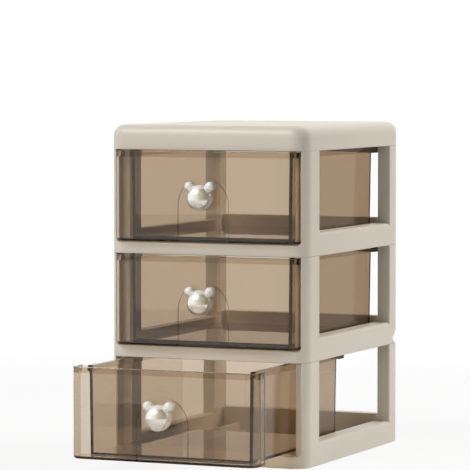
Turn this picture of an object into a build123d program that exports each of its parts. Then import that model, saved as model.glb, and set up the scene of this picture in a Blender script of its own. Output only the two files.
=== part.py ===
from build123d import *
import os

# A stack of three moulded tiers under a cover. Each tier carries one see-through drawer with a knob.
# Millimetres, +Z up, the front faces -Y. The origin is the middle of the footprint, on the floor.

# Case
case_width = 160.0
case_depth = 200.0
case_corner_radius = 13.0
tier_pitch = 78.0
tier_names = ("lower", "middle", "upper")
moulded_wall = 2.6
floor_thickness = 2.4
seam_chamfer = 0.4

# Rails and posts of one tier
front_rail_height = 8.8
side_rail_height = 17.4
rear_rail_height = 21.0
side_wall_width = 12.2
rear_rail_depth = 10.0
front_post_depth = 29.0
rear_post_depth = 24.6
rear_post_width = 10.0
rear_post_core_depth = 5.0
front_post_skin = 4.8
rebate_depth = 12.6
opening_corner_radius = 2.6
opening_edge_radius = 0.6
rail_edge_radius = 2.6
post_edge_radius = 1.2

# Runner ribs on the tier's floor
runner_spacing = 96.0
runner_width = 3.0
runner_length = 160.0

# Spigots that lock one tier on the next
spigot_height = 5.0
spigot_clearance = 0.3

# Finger notch at the rear corners, between the lower and the middle tier
notch_depth = 7.5
notch_rise = 12.0
notch_tip_height = 4.4
notch_drop = 2.0

# Cover
cover_height = 18.6
cover_edge_radius = 8.5
cover_wall = 3.2
cover_top_thickness = 5.0

# Drawer
drawer_side_clearance = 0.7
drawer_height_clearance = 0.8
drawer_run_clearance = 0.3
front_side_clearance = 1.0
front_seat_clearance = 0.4
front_proud = 4.5
front_corner_radius = 8.5
front_foot_radius = 1.8
front_rim_radius = 0.6
front_wall = 1.5
tub_wall = 2.6
step_wall = 0.8
tub_floor = 2.0
tub_corner_radius = 3.0
body_rear_gap = 15.5
body_side_draft = 0.8
body_rear_draft = 1.0
body_floor_lift = 1.4
rim_height = 4.4
rim_overhang = 1.5
lip_thickness = 1.4
rear_flange_depth = 10.5
rear_flange_thickness = 4.8
rear_flange_radius = 1.5
lower_drawer_pull = 73.0

# Arch recess of the drawer front
arch_width = 41.0
arch_height = 48.0
arch_depth = 0.7

# Knob: a domed head with two small domed ears, on a neck
knob_radius = 9.6
knob_skirt = 3.0
knob_neck_radius = 5.5
knob_neck_length = 3.9
ear_radius = 3.7
ear_side_offset = 8.3
ear_rise = 8.2
knob_peg_radius = 1.0
knob_peg_drop = 4.3
knob_peg_length = 1.2
peg_clearance = 0.2

# Knob screw
screw_radius = 1.5
screw_engagement = 8.0
screw_hole_clearance = 0.2
screw_bore_clearance = 0.05
screw_bore_spare = 1.0
screw_head_radius = 3.0
screw_head_height = 2.2
screw_head_edge = 0.8
screw_slot_length = 3.4
screw_slot_width = 0.9
screw_slot_depth = 1.1

# Places that follow from the sizes
half_width = case_width / 2
half_depth = case_depth / 2
bay_half = half_width - side_wall_width
opening_half = half_width - front_post_skin
rear_opening_half = half_width - rear_post_width
rebate_y = rebate_depth - half_depth
front_window_y = front_post_depth - half_depth
rear_window_y = half_depth - rear_post_depth
rear_rail_y = half_depth - rear_rail_depth
window_length = rear_window_y - front_window_y
past = 5.0

drawer_top = tier_pitch - drawer_height_clearance
drawer_front_y = -half_depth - front_proud
front_half = opening_half - front_side_clearance
front_bottom = front_rail_height + drawer_height_clearance
front_rear_y = rebate_y - front_seat_clearance
body_half = bay_half - drawer_side_clearance - rim_overhang
body_bottom = front_bottom + body_floor_lift
body_rear_y = rear_rail_y - body_rear_gap
runner_height = body_bottom - drawer_run_clearance - floor_thickness
knob_z = (front_bottom + drawer_top) / 2
knob_seat_y = drawer_front_y + arch_depth
knob_back_y = knob_seat_y - knob_neck_length
knob_y = knob_back_y - knob_skirt
screw_seat_y = knob_seat_y + front_wall


def block(x0, x1, y0, y1, z0, z1):
    """A box between two corners."""
    corner = (min(x0, x1), min(y0, y1), min(z0, z1))
    size = (abs(x1 - x0), abs(y1 - y0), abs(z1 - z0))
    return Pos(*corner) * Box(*size, align=(Align.MIN, Align.MIN, Align.MIN))


def both_sides(solid):
    """A solid and its mirror image across the middle plane."""
    return solid + mirror(solid, about=Plane.YZ)


def case_plan(inset=0.0):
    """The rounded footprint, drawn in by an inset."""
    return RectangleRounded(case_width - 2 * inset, case_depth - 2 * inset, case_corner_radius - inset)


def edge_cutter(radius, length):
    """Rounds an edge along +Z whose material lies towards -X and -Y of the origin."""
    square = block(-radius, past, -radius, past, 0, length)
    inner = Pos(-radius, -radius, 0) * Cylinder(radius, length, align=(Align.CENTER, Align.CENTER, Align.MIN))
    keep = block(-2 * radius, -radius, -2 * radius, past, 0, length) + block(
        -2 * radius, past, -2 * radius, -radius, 0, length
    )
    return square - inner - keep


def front_post_core(z0, z1, clearance=0.0):
    """The hollow of the right front post, or what fits into it."""
    inset = moulded_wall + clearance
    return block(
        bay_half + inset, half_width - inset, rebate_y + inset, front_window_y - inset, z0, z1
    )


def rear_post_core(z0, z1, clearance=0.0):
    """The hollow of the right rear post, or what fits into it."""
    inset = moulded_wall + clearance
    y0 = rear_window_y + inset
    y1 = rear_window_y + moulded_wall + rear_post_core_depth - clearance
    return block(rear_opening_half + inset, half_width - inset, y0, y1, z0, z1)


def notch_cutter(joint_z):
    """A V across each rear corner, set at the height of a joint between two tiers."""
    corner = (half_width - case_corner_radius, half_depth - case_corner_radius, joint_z)
    plane = Plane(origin=corner, x_dir=(1, 1, 0), z_dir=(1, -1, 0))
    reach = case_corner_radius + past
    slope_up = (notch_rise - notch_tip_height) / notch_depth
    slope_down = (notch_tip_height + notch_drop) / notch_depth
    outline = Polygon(
        (case_corner_radius - notch_depth, notch_tip_height),
        (reach, notch_tip_height - slope_down * (past + notch_depth)),
        (reach, notch_tip_height + slope_up * (past + notch_depth)),
        align=None,
    )
    return both_sides(extrude(plane * outline, amount=2 * case_corner_radius, both=True))


def tier_body():
    """Footprint raised to full height, with the bay, the windows and the rear opening cut out."""
    body = extrude(case_plan(), tier_pitch)
    body = chamfer(body.faces().sort_by(Axis.Z)[0].edges(), seam_chamfer)
    top = tier_pitch + past
    body -= block(-bay_half, bay_half, rebate_y, rear_rail_y, floor_thickness, top)
    opening = block(
        -opening_half, opening_half, -half_depth - past, rebate_y, front_rail_height, top
    )
    foot_edges = opening.edges().filter_by(Axis.Y).group_by(Axis.Z)[0]
    body -= fillet(foot_edges, opening_corner_radius)
    rim_edges = body.edges().filter_by_position(Axis.Y, -half_depth - past, (rebate_y - half_depth) / 2)
    rim_edges = rim_edges.filter_by_position(Axis.Z, front_rail_height, tier_pitch, (True, False))
    body = fillet(rim_edges, opening_edge_radius)
    body -= block(
        -half_width - past, half_width + past, front_window_y, rear_window_y, side_rail_height, top
    )
    body -= block(
        -rear_opening_half, rear_opening_half, rear_window_y, half_depth + past, rear_rail_height, top
    )
    return body


def tier_edges():
    """Rounds the outer edges of the right side window."""
    rail = Plane((half_width, front_window_y, side_rail_height), x_dir=(1, 0, 0), z_dir=(0, 1, 0))
    rail_cut = rail * mirror(edge_cutter(rail_edge_radius, window_length), about=Plane.XZ)
    post_height = tier_pitch - side_rail_height
    front_cut = Pos(half_width, front_window_y, side_rail_height) * edge_cutter(
        post_edge_radius, post_height
    )
    rear_cut = Pos(half_width, rear_window_y, side_rail_height) * mirror(
        edge_cutter(post_edge_radius, post_height), about=Plane.XZ
    )
    return rail_cut + front_cut + rear_cut


def tier_cores():
    """Hollows from below: posts, side rails, rear rail and front rail."""
    post_top = tier_pitch - moulded_wall
    inner_x = bay_half + moulded_wall
    outer_x = half_width - moulded_wall
    side_core = block(
        inner_x,
        outer_x,
        front_window_y - moulded_wall,
        rear_window_y + moulded_wall,
        0,
        side_rail_height - moulded_wall,
    )
    right = front_post_core(0, post_top) + rear_post_core(0, post_top) + side_core
    rear_core = block(
        -rear_opening_half,
        rear_opening_half,
        rear_rail_y + moulded_wall,
        half_depth - moulded_wall,
        0,
        rear_rail_height - moulded_wall,
    )
    front_core = block(
        -bay_half,
        bay_half,
        moulded_wall - half_depth,
        rebate_y - moulded_wall,
        0,
        front_rail_height - moulded_wall,
    )
    return both_sides(right) + rear_core + front_core


def tier_frame(index):
    """One tier: base tray, rails, posts, runner ribs and spigots, in its place in the stack."""
    frame = tier_body() - both_sides(tier_edges()) - tier_cores()
    runner = block(
        runner_spacing / 2 - runner_width / 2,
        runner_spacing / 2 + runner_width / 2,
        rebate_y,
        rebate_y + runner_length,
        floor_thickness,
        floor_thickness + runner_height,
    )
    spigot_top = tier_pitch + spigot_height
    spigots = front_post_core(tier_pitch, spigot_top, spigot_clearance)
    spigots += rear_post_core(tier_pitch, spigot_top, spigot_clearance)
    frame += both_sides(runner) + both_sides(spigots)
    if tier_names[index] == "middle":
        frame -= notch_cutter(0)
    if tier_names[index] == "lower":
        frame -= notch_cutter(tier_pitch)
    return Pos(0, 0, index * tier_pitch) * frame


def top_cover():
    """A shallow lid with a large rounded top edge and sockets over the posts."""
    cover = extrude(case_plan(), cover_height)
    cover = fillet(cover.faces().sort_by(Axis.Z)[-1].edges(), cover_edge_radius)
    cover = chamfer(cover.faces().sort_by(Axis.Z)[0].edges(), seam_chamfer)
    pocket_top = cover_height - cover_top_thickness
    side_pocket = half_width - cover_wall
    end_pocket = half_depth - cover_wall
    cover -= block(-side_pocket, side_pocket, front_window_y, rear_window_y, 0, pocket_top)
    cover -= block(-bay_half, bay_half, -end_pocket, end_pocket, 0, pocket_top)
    socket_top = spigot_height + spigot_clearance
    sockets = front_post_core(0, socket_top) + rear_post_core(0, socket_top)
    cover -= both_sides(sockets)
    return Pos(0, 0, len(tier_names) * tier_pitch) * cover


def front_zone(inset, z0, z1, rear_y):
    """The wide front part of a drawer, or its hollow when drawn in by an inset."""
    half = front_half - inset
    zone = block(-half, half, drawer_front_y + inset, rear_y, z0, z1)
    corners = zone.edges().filter_by(Axis.Z).group_by(Axis.Y)[0]
    return fillet(corners, front_corner_radius - inset)


def body_plan(z, shrink, half, rear_y, radius):
    """A level section of the drawer's body, drawn in by an inset."""
    width = 2 * (half - shrink)
    y0 = drawer_front_y + front_wall + shrink
    y1 = rear_y - shrink
    return Plane((0, (y0 + y1) / 2, z)) * RectangleRounded(width, y1 - y0, radius)


def body_form(shrink, z0):
    """The drawer's tapered body from a level up to its top, drawn in by an inset."""
    radius = tub_corner_radius - shrink
    low = body_plan(z0, shrink, body_half - body_side_draft, body_rear_y - body_rear_draft, radius)
    high = body_plan(drawer_top, shrink, body_half, body_rear_y, radius)
    return loft([low, high], ruled=True)


def arch_prism(y0, y1, z0):
    """The arch that frames the knob, as a prism between two depths."""
    radius = arch_width / 2
    spring_z = front_bottom + arch_height - radius
    legs = block(-radius, radius, y0, y1, z0, spring_z)
    crown = Pos(0, (y0 + y1) / 2, spring_z) * Rot(90, 0, 0) * Cylinder(radius, abs(y1 - y0))
    return legs + crown


def drawer():
    """One drawer in its closed place in a tier whose underside is at zero."""
    rim_bottom = drawer_top - rim_height
    floor_top = front_bottom + tub_floor
    zone = front_zone(0, front_bottom, drawer_top, front_rear_y)
    foot = zone.faces().sort_by(Axis.Z)[0].edges().sort_by(Axis.Y)[:-1]
    zone = fillet(foot, front_foot_radius)
    rim_edges = zone.faces().sort_by(Axis.Z)[-1].edges().sort_by(Axis.Y)[:-1]
    zone = fillet(rim_edges, front_rim_radius)
    rim_half = body_half + rim_overhang
    rim = block(-rim_half, rim_half, front_rear_y, body_rear_y + rim_overhang, rim_bottom, drawer_top)
    flange = block(
        -rim_half,
        rim_half,
        body_rear_y,
        body_rear_y + rear_flange_depth,
        drawer_top - rear_flange_thickness,
        drawer_top,
    )
    flange = fillet(flange.faces().sort_by(Axis.Y)[-1].edges(), rear_flange_radius)
    outer = zone + body_form(0, body_bottom) + rim + flange
    zone_back = front_rear_y - step_wall
    hollow = front_zone(front_wall, floor_top, rim_bottom, zone_back)
    hollow += front_zone(front_wall + lip_thickness, floor_top, drawer_top + past, zone_back)
    hollow += body_form(tub_wall, body_bottom + tub_floor)
    tub = outer - hollow
    tub -= arch_prism(drawer_front_y - past, knob_seat_y, front_bottom)
    inner_y = drawer_front_y + front_wall
    tub += arch_prism(inner_y, screw_seat_y, floor_top)
    through = 2 * (front_wall + past)
    hole = Pos(0, screw_seat_y, knob_z) * Rot(90, 0, 0) * Cylinder(
        screw_radius + screw_hole_clearance, through
    )
    peg_hole = Pos(0, screw_seat_y, knob_z - knob_peg_drop) * Rot(90, 0, 0) * Cylinder(
        knob_peg_radius + peg_clearance, through
    )
    return tub - hole - peg_hole


def dome(x, z, radius):
    """A dome that faces the front, with a straight skirt behind it."""
    skirt = Pos(x, (knob_y + knob_back_y) / 2, z) * Rot(90, 0, 0) * Cylinder(radius, knob_skirt)
    ball = Pos(x, knob_y, z) * Sphere(radius)
    reach = 2 * radius
    behind = block(x - reach, x + reach, knob_back_y, knob_back_y + reach, z - reach, z + reach)
    return skirt + ball - behind


def knob():
    """A domed head with two ears, on a neck with a screw bore and a peg against turning."""
    form = dome(0, knob_z, knob_radius) + both_sides(dome(ear_side_offset, knob_z + ear_rise, ear_radius))
    neck_y = (knob_back_y + knob_seat_y) / 2
    form += Pos(0, neck_y, knob_z) * Rot(90, 0, 0) * Cylinder(knob_neck_radius, knob_neck_length)
    bore_depth = screw_engagement + screw_bore_spare
    bore = Pos(0, knob_seat_y - bore_depth / 2, knob_z) * Rot(90, 0, 0) * Cylinder(
        screw_radius + screw_bore_clearance, bore_depth
    )
    peg = Pos(0, knob_seat_y + knob_peg_length / 2, knob_z - knob_peg_drop) * Rot(90, 0, 0) * Cylinder(
        knob_peg_radius, knob_peg_length
    )
    return form - bore + peg


def knob_screw():
    """A pan-head screw with a cross recess, driven from inside the drawer."""
    head = Cylinder(screw_head_radius, screw_head_height, align=(Align.CENTER, Align.CENTER, Align.MIN))
    head = fillet(head.faces().sort_by(Axis.Z)[-1].edges(), screw_head_edge)
    slot_z = screw_head_height - screw_slot_depth / 2
    slot = Pos(0, 0, slot_z) * Box(screw_slot_length, screw_slot_width, screw_slot_depth)
    head = head - slot - Rot(0, 0, 90) * slot
    shank_length = front_wall + screw_engagement
    shank = Cylinder(screw_radius, shank_length, align=(Align.CENTER, Align.CENTER, Align.MAX))
    return Pos(0, screw_seat_y, knob_z) * Rot(-90, 0, 0) * (head + shank)


def build():
    """Every piece by its node's name."""
    pieces = {"top_cover": top_cover()}
    for index, name in enumerate(tier_names):
        pull = lower_drawer_pull if name == "lower" else 0.0
        place = Pos(0, -pull, index * tier_pitch)
        pieces["tier_frame_" + name] = tier_frame(index)
        pieces["drawer_" + name] = place * drawer()
        pieces["knob_" + name] = place * knob()
        pieces["knob_screw_" + name] = place * knob_screw()
    return pieces


os.makedirs("parts", exist_ok=True)
for node, solid in build().items():
    export_step(solid, os.path.join("parts", node + ".step"))
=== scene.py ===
"""The looks of a stackable drawer box: cream tiers, smoky see-through drawers and glossy knobs."""

import math

import bpy
from mathutils import Matrix, Vector

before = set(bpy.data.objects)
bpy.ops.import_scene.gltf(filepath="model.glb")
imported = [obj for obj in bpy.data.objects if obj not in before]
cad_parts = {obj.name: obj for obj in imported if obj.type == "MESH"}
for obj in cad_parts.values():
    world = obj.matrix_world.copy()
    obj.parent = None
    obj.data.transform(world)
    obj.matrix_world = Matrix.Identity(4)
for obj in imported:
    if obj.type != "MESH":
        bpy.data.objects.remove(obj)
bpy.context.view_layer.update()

TIERS = ("lower", "middle", "upper")

# Camera: the photograph's view, from the front and a little from the right
CAMERA_PLACE = Vector((0.9366, -2.1947, 0.2987))
CAMERA_FORWARD = Vector((-0.39877, 0.91536, -0.05547))
CAMERA_REACH = 50.0
SENSOR_WIDTH_MM = 36.0
LENS_MM = 237.0

# Colours, as linear light
WHITE = (1.0, 1.0, 1.0)
CREAM = (0.800, 0.738, 0.635)
CREAM_SHADE = (0.775, 0.708, 0.602)
KNOB_PEARL = (0.950, 0.925, 0.860)
KNOB_WHITE = (0.960, 0.945, 0.900)
STEEL = (0.560, 0.550, 0.530)
FLOOR_WHITE = (0.860, 0.850, 0.835)

# Noises: cells to the metre, detail, and stretch along each axis
EVEN = (1.0, 1.0, 1.0)
CREAM_CLOUD = (18.0, 3.0, EVEN)
CREAM_GRAIN = (2600.0, 2.0, EVEN)
CREAM_POLISH = (60.0, 2.0, EVEN)
SMOKE_WAVE = (90.0, 1.0, (1.0, 1.0, 0.35))
KNOB_POLISH = (300.0, 2.0, EVEN)
STEEL_MARKS = (900.0, 4.0, (1.0, 8.0, 1.0))

# Bumps: strength, and depth in metres
CREAM_BUMP = (0.06, 0.0002)
SMOKE_BUMP = (0.04, 0.0005)

# Gloss: lowest and highest roughness, and how strongly light bends
CREAM_ROUGHNESS = (0.34, 0.42)
KNOB_ROUGHNESS = (0.14, 0.20)
STEEL_ROUGHNESS = (0.22, 0.42)
CREAM_IOR = 1.46
SMOKE_IOR = 1.49
KNOB_IOR = 1.5

# Smoky plastic: what it takes out of light on its way, and what each face passes on to shadows
SMOKE_DENSITY = 450.0
SMOKE_TINT = (0.640, 0.500, 0.310)
SMOKE_FACE = (0.800, 0.815, 0.830)

# Knob: where its pearl front sets in, by how far the surface faces the front and how far down,
# and by the height in its tier, and how metallic the white and the pearl are
TIER_PITCH = 0.078
PEARL_EDGE = (0.20, 0.42)
PEARL_UNDER = (-0.90, -0.74)
PEARL_TOP = (0.0512, 0.0495)
KNOB_METALLIC = (0.05, 0.75)

# Studio walls by azimuth in degrees, counted from the front towards the right
STUDIO_WALLS = (
    (-36.0, (1.00, 1.00, 1.00)),
    (24.0, (0.52, 0.46, 0.32)),
    (60.0, (0.36, 0.31, 0.20)),
    (100.0, (0.17, 0.14, 0.09)),
    (134.0, (0.14, 0.12, 0.09)),
    (144.0, (0.34, 0.32, 0.29)),
    (160.0, (0.40, 0.39, 0.37)),
    (174.0, (0.95, 0.95, 0.94)),
)
WORLD_FILL = 0.03

# Softboxes: name, azimuth and elevation in degrees, width and height in metres, watts,
# and whether gloss mirrors the lamp
SOFTBOXES = (
    ("front_softbox", 4.0, 8.0, (0.5, 0.3), 8.2, False),
    ("top_softbox", -32.0, 50.0, (1.4, 0.8), 23.0, True),
    ("back_softbox", 139.0, 30.0, (1.3, 1.3), 38.0, False),
)
SOFTBOX_DISTANCE = 2.0
OBJECT_MIDDLE = Vector((0.0, 0.0, 0.13))

# Floor: the disc fades out between two radii, and shows mostly white to the camera
FLOOR_SIDES = 96
FLOOR_REACH = 0.90
FLOOR_FADE = 0.45
FLOOR_SHOWN_WHITE = 0.88

# Light that has bounced off a matt surface has a diffuse depth above this
UNBOUNCED_DEPTH = 0.5


def new_tree(name):
    """A new material with an empty node tree, and its output node."""
    material = bpy.data.materials.new(name)
    material.use_nodes = True
    tree = material.node_tree
    tree.nodes.clear()
    return material, tree, tree.nodes.new("ShaderNodeOutputMaterial")


def add(tree, kind, inputs=None, **settings):
    """A node with its settings, and its inputs set to values or linked to sockets."""
    node = tree.nodes.new(kind)
    for key, value in settings.items():
        setattr(node, key, value)
    for key, value in (inputs or {}).items():
        if isinstance(value, bpy.types.NodeSocket):
            tree.links.new(value, node.inputs[key])
        else:
            node.inputs[key].default_value = value
    return node


def rgba(colour):
    """A colour with full alpha."""
    return (*colour, 1.0)


def place_socket(tree, kind):
    """Coordinates or normals of the object itself, or directions in the world."""
    return add(tree, "ShaderNodeTexCoord").outputs[kind]


def axes_of(tree, vector):
    """The X, Y and Z sockets of a vector."""
    return add(tree, "ShaderNodeSeparateXYZ", {"Vector": vector}).outputs


def noise(tree, scale, detail, stretch):
    """Noise over the object's own metres."""
    place = place_socket(tree, "Object")
    mapped = add(tree, "ShaderNodeMapping", {"Vector": place, "Scale": stretch})
    inputs = {"Vector": mapped.outputs["Vector"], "Scale": scale, "Detail": detail}
    return add(tree, "ShaderNodeTexNoise", inputs).outputs["Fac"]


def bump(tree, height, strength, depth):
    """Normals tilted by a height."""
    inputs = {"Height": height, "Strength": strength, "Distance": depth}
    return add(tree, "ShaderNodeBump", inputs).outputs["Normal"]


def spread(tree, value, low, high):
    """A value between 0 and 1 mapped to a range."""
    inputs = {"Value": value, "To Min": low, "To Max": high}
    return add(tree, "ShaderNodeMapRange", inputs).outputs["Result"]


def share_between(tree, value, start, end, **settings):
    """Zero where a value is at the start, and one where it is at the end."""
    inputs = {"Value": value, "From Min": start, "From Max": end}
    return add(tree, "ShaderNodeMapRange", inputs, **settings).outputs["Result"]


def calculate(tree, operation, first, second):
    """The result of one sum on two values or sockets."""
    return add(tree, "ShaderNodeMath", {0: first, 1: second}, operation=operation).outputs["Value"]


def mix_colours(tree, share, first, second):
    """The first colour where the share is zero, and the second where it is one."""
    inputs = {"Factor": share, "A": rgba(first), "B": rgba(second)}
    return add(tree, "ShaderNodeMix", inputs, data_type="RGBA").outputs["Result"]


def mix_shaders(tree, share, first, second):
    """The first shader where the share is zero, and the second where it is one."""
    return add(tree, "ShaderNodeMixShader", {"Fac": share, 1: first, 2: second}).outputs["Shader"]


def principled(tree, inputs):
    """The general surface shader."""
    return add(tree, "ShaderNodeBsdfPrincipled", inputs).outputs["BSDF"]


def see_through(tree, colour):
    """A shader that lets light straight through, tinted."""
    return add(tree, "ShaderNodeBsdfTransparent", {"Color": rgba(colour)}).outputs["BSDF"]


def light_path(tree, kind):
    """What kind of ray is being followed, or how often it has bounced."""
    return add(tree, "ShaderNodeLightPath").outputs[kind]


def shown(tree):
    """One for what the camera sees directly or through the drawers, and zero for other light."""
    camera = light_path(tree, "Is Camera Ray")
    seen = calculate(tree, "MAXIMUM", camera, light_path(tree, "Is Transmission Ray"))
    direct = calculate(tree, "LESS_THAN", light_path(tree, "Diffuse Depth"), UNBOUNCED_DEPTH)
    return calculate(tree, "MULTIPLY", seen, direct)


def cream_plastic():
    """Satin moulded plastic: faint cloudy colour, spark-eroded grain and uneven gloss."""
    material, tree, out = new_tree("cream_plastic")
    polish = noise(tree, *CREAM_POLISH)
    inputs = {
        "Base Color": mix_colours(tree, noise(tree, *CREAM_CLOUD), CREAM_SHADE, CREAM),
        "Roughness": spread(tree, polish, *CREAM_ROUGHNESS),
        "IOR": CREAM_IOR,
        "Normal": bump(tree, noise(tree, *CREAM_GRAIN), *CREAM_BUMP),
    }
    tree.links.new(principled(tree, inputs), out.inputs["Surface"])
    return material


def smoky_plastic():
    """Clear brown plastic that takes out more light the further it travels inside."""
    material, tree, out = new_tree("smoky_plastic")
    inputs = {
        "Base Color": rgba(WHITE),
        "Roughness": 0.0,
        "IOR": SMOKE_IOR,
        "Transmission Weight": 1.0,
        "Normal": bump(tree, noise(tree, *SMOKE_WAVE), *SMOKE_BUMP),
    }
    clear = principled(tree, inputs)
    shadow = light_path(tree, "Is Shadow Ray")
    surface = mix_shaders(tree, shadow, clear, see_through(tree, SMOKE_FACE))
    tree.links.new(surface, out.inputs["Surface"])
    inputs = {"Color": rgba(SMOKE_TINT), "Density": SMOKE_DENSITY}
    smoke = add(tree, "ShaderNodeVolumeAbsorption", inputs).outputs["Volume"]
    tree.links.new(smoke, out.inputs["Volume"])
    return material


def knob_pearl_share(tree):
    """One on the front of the head, and zero on its rim and on the ears."""
    facing = axes_of(tree, place_socket(tree, "Normal"))
    slope = calculate(tree, "ABSOLUTE", facing["Y"], 0.0)
    front = share_between(tree, slope, *PEARL_EDGE)
    under = share_between(tree, facing["Z"], *PEARL_UNDER)
    place = axes_of(tree, place_socket(tree, "Object"))
    height = calculate(tree, "MODULO", place["Z"], TIER_PITCH)
    head = share_between(tree, height, *PEARL_TOP)
    upper = calculate(tree, "MULTIPLY", front, head)
    return calculate(tree, "MULTIPLY", upper, under)


def knob_gloss():
    """Polished white knob whose front mirrors the studio like pearl."""
    material, tree, out = new_tree("knob_gloss")
    pearl = knob_pearl_share(tree)
    inputs = {
        "Base Color": mix_colours(tree, pearl, KNOB_WHITE, KNOB_PEARL),
        "Metallic": spread(tree, pearl, *KNOB_METALLIC),
        "Roughness": spread(tree, noise(tree, *KNOB_POLISH), *KNOB_ROUGHNESS),
        "IOR": KNOB_IOR,
    }
    tree.links.new(principled(tree, inputs), out.inputs["Surface"])
    return material


def plated_steel():
    """Zinc-plated steel with fine turning marks."""
    material, tree, out = new_tree("plated_steel")
    inputs = {
        "Base Color": rgba(STEEL),
        "Metallic": 1.0,
        "Roughness": spread(tree, noise(tree, *STEEL_MARKS), *STEEL_ROUGHNESS),
    }
    tree.links.new(principled(tree, inputs), out.inputs["Surface"])
    return material


def floor_white():
    """Matt white that keeps the object's shadow and fades into the white around it."""
    material, tree, out = new_tree("floor_white")
    matt = add(tree, "ShaderNodeBsdfDiffuse", {"Color": rgba(FLOOR_WHITE)}).outputs["BSDF"]
    inputs = {"Color": rgba(WHITE), "Strength": 1.0}
    glow = add(tree, "ShaderNodeEmission", inputs).outputs["Emission"]
    share = calculate(tree, "MULTIPLY", shown(tree), FLOOR_SHOWN_WHITE)
    pale = mix_shaders(tree, share, matt, glow)
    place = place_socket(tree, "Object")
    away = add(tree, "ShaderNodeVectorMath", {0: place}, operation="LENGTH").outputs["Value"]
    fade = share_between(tree, away, FLOOR_FADE, FLOOR_REACH, interpolation_type="SMOOTHSTEP")
    surface = mix_shaders(tree, fade, pale, see_through(tree, WHITE))
    tree.links.new(surface, out.inputs["Surface"])
    return material


def dress(node, material):
    """Gives a carried-over node its finish."""
    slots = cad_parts[node].data.materials
    slots.clear()
    slots.append(material)


def look_from(obj, place, forward):
    """Puts a camera or lamp at a place, facing along a direction."""
    turn = forward.to_track_quat("-Z", "Y").to_matrix().to_4x4()
    obj.matrix_world = Matrix.Translation(place) @ turn


def add_camera():
    """The photograph's camera."""
    camera = bpy.data.objects.new("camera", bpy.data.cameras.new("camera"))
    camera.data.sensor_width = SENSOR_WIDTH_MM
    camera.data.lens = LENS_MM
    camera.data.clip_end = CAMERA_REACH
    bpy.context.scene.collection.objects.link(camera)
    look_from(camera, CAMERA_PLACE, CAMERA_FORWARD)
    bpy.context.scene.camera = camera


def add_lamp(name, azimuth, elevation, size, watts, mirrored):
    """A softbox that faces the object, its azimuth counted from the front towards the right."""
    side = math.radians(azimuth)
    rise = math.radians(elevation)
    level = math.cos(rise)
    towards = Vector((math.sin(side) * level, -math.cos(side) * level, math.sin(rise)))
    lamp = bpy.data.objects.new(name, bpy.data.lights.new(name, "AREA"))
    lamp.data.shape = "RECTANGLE"
    lamp.data.size, lamp.data.size_y = size
    lamp.data.energy = watts
    lamp.visible_glossy = mirrored
    bpy.context.scene.collection.objects.link(lamp)
    look_from(lamp, OBJECT_MIDDLE + SOFTBOX_DISTANCE * towards, -towards)


def studio_walls(tree):
    """The colour of the studio's walls by azimuth, white from behind round the left to the front."""
    axes = axes_of(tree, place_socket(tree, "Generated"))
    ahead = calculate(tree, "MULTIPLY", axes["Y"], -1.0)
    angle = calculate(tree, "ARCTAN2", axes["X"], ahead)
    turn = share_between(tree, angle, -math.pi, math.pi)
    ramp = add(tree, "ShaderNodeValToRGB", {"Fac": turn})
    stops = ramp.color_ramp.elements
    while len(stops) > 1:
        stops.remove(stops[-1])
    stops[0].position = 0.0
    stops[0].color = rgba(WHITE)
    for azimuth, colour in STUDIO_WALLS:
        stop = stops.new((math.radians(azimuth) + math.pi) / math.tau)
        stop.color = rgba(colour)
    return ramp.outputs["Color"]


def background(tree, colour, strength):
    """Light from all round, of one colour or of a socket's."""
    inputs = {"Color": colour, "Strength": strength}
    return add(tree, "ShaderNodeBackground", inputs).outputs["Background"]


def add_world():
    """Studio walls that gloss mirrors and that add a little fill. Past the object shows white."""
    world = bpy.data.worlds.new("studio")
    bpy.context.scene.world = world
    world.use_nodes = True
    tree = world.node_tree
    tree.nodes.clear()
    out = tree.nodes.new("ShaderNodeOutputWorld")
    strength = spread(tree, light_path(tree, "Is Glossy Ray"), WORLD_FILL, 1.0)
    soft = background(tree, studio_walls(tree), strength)
    surface = mix_shaders(tree, shown(tree), soft, background(tree, rgba(WHITE), 1.0))
    tree.links.new(surface, out.inputs["Surface"])


def add_floor():
    """A round pale floor."""
    bpy.ops.mesh.primitive_circle_add(vertices=FLOOR_SIDES, radius=FLOOR_REACH, fill_type="NGON")
    floor = bpy.context.object
    floor.name = "floor"
    floor.data.materials.append(floor_white())


def dress_all():
    """Gives every node its finish."""
    cream = cream_plastic()
    smoke = smoky_plastic()
    gloss = knob_gloss()
    steel = plated_steel()
    dress("top_cover", cream)
    for tier in TIERS:
        dress("tier_frame_" + tier, cream)
        dress("drawer_" + tier, smoke)
        dress("knob_" + tier, gloss)
        dress("knob_screw_" + tier, steel)


dress_all()
add_camera()
add_world()
add_floor()
for softbox in SOFTBOXES:
    add_lamp(*softbox)
bpy.context.scene.view_settings.view_transform = "Standard"
